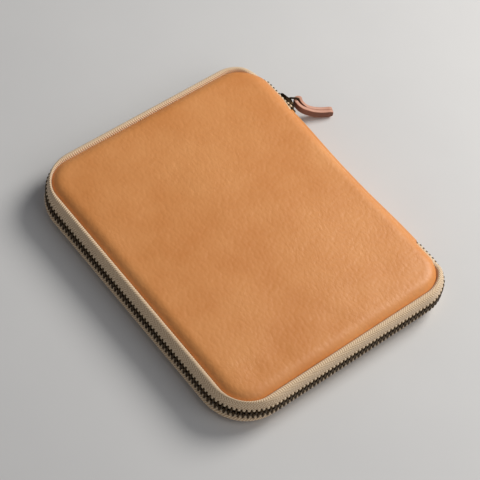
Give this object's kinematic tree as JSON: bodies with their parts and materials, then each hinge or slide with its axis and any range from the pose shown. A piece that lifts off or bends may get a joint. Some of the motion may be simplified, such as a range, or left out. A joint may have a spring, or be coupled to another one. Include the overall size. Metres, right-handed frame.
{
  "type": "fountain pen case",
  "caption": "Flat zip-around leather case that opens like a book and holds fountain pens side by side in leather loops.",
  "frame": {"origin": "centre of the back cover's flat outer face, which the closed case lies on", "axes": "+X towards the spine, +Y along the spine towards the end where the closed slider is parked, +Z from the back cover to the front cover"},
  "size_m": [0.1803, 0.191, 0.0228],
  "materials": {
    "cover_leather": "fine-grained, semi-matt, naturally tanned",
    "lining": "suede, matt",
    "loop_leather": "smooth, semi-matt",
    "zip_tape": "herringbone woven cotton, matt",
    "zip_metal": "dark antique brass, worn bright on the edges",
    "tab_leather": "matt, pinkish brown",
    "padding": "soft foam sheet",
    "board": "pressed fibre board"
  },
  "bodies": {
    "back_half": {"back_cover_leather": "cover_leather", "back_padding": "padding", "back_board": "board", "back_lining": "lining", "upper_pen_loops": "loop_leather", "lower_pen_loops": "loop_leather", "back_zip_tape": "zip_tape", "back_zip_teeth": "zip_metal"},
    "spine": {"spine_leather": "cover_leather", "spine_lining": "lining", "near_end_tape_front": "zip_tape", "near_end_tape_back": "zip_tape", "near_end_teeth": "zip_metal", "bottom_stop": "zip_metal", "far_end_tape_front": "zip_tape", "far_end_tape_back": "zip_tape", "far_end_teeth_front": "zip_metal", "far_end_teeth_back": "zip_metal", "top_stop_front": "zip_metal", "top_stop_back": "zip_metal"},
    "front_half": {"front_cover_leather": "cover_leather", "front_padding": "padding", "front_board": "board", "front_lining": "lining", "front_slip_pocket": "loop_leather", "front_zip_tape": "zip_tape", "front_zip_teeth": "zip_metal"},
    "zip_slider": {"slider_body": "zip_metal"},
    "pull_link": {"pull_link": "zip_metal"},
    "pull_tab": {"pull_tab": "tab_leather"}
  },
  "joints": [
    {"name": "spine_fold", "type": "hinge", "parent": "back_half", "child": "spine", "pos_m": [0.0714, 0, 0.00165], "axis": [0, 1, 0], "range_deg": [0, 90]},
    {"name": "cover_fold", "type": "hinge", "parent": "spine", "child": "front_half", "pos_m": [0.0714, 0, 0.02115], "axis": [0, 1, 0], "range_deg": [0, 90]},
    {"name": "slider_travel", "type": "slide", "parent": "spine", "child": "zip_slider", "axis": [0, 1, 0], "range_m": [0, 0.009]},
    {"name": "link_swing", "type": "hinge", "parent": "zip_slider", "child": "pull_link", "pos_m": [0.0799, 0.058, 0.0114], "axis": [0, 0, 1], "range_deg": [-20, 92]},
    {"name": "tab_swing", "type": "hinge", "parent": "pull_link", "child": "pull_tab", "pos_m": [0.08443, 0.05471, 0.0114], "axis": [0, 0, 1], "range_deg": [-35, 35]}
  ],
  "couplings": [
    {"joint": "cover_fold", "follows": "spine_fold", "ratio": 1}
  ]
}
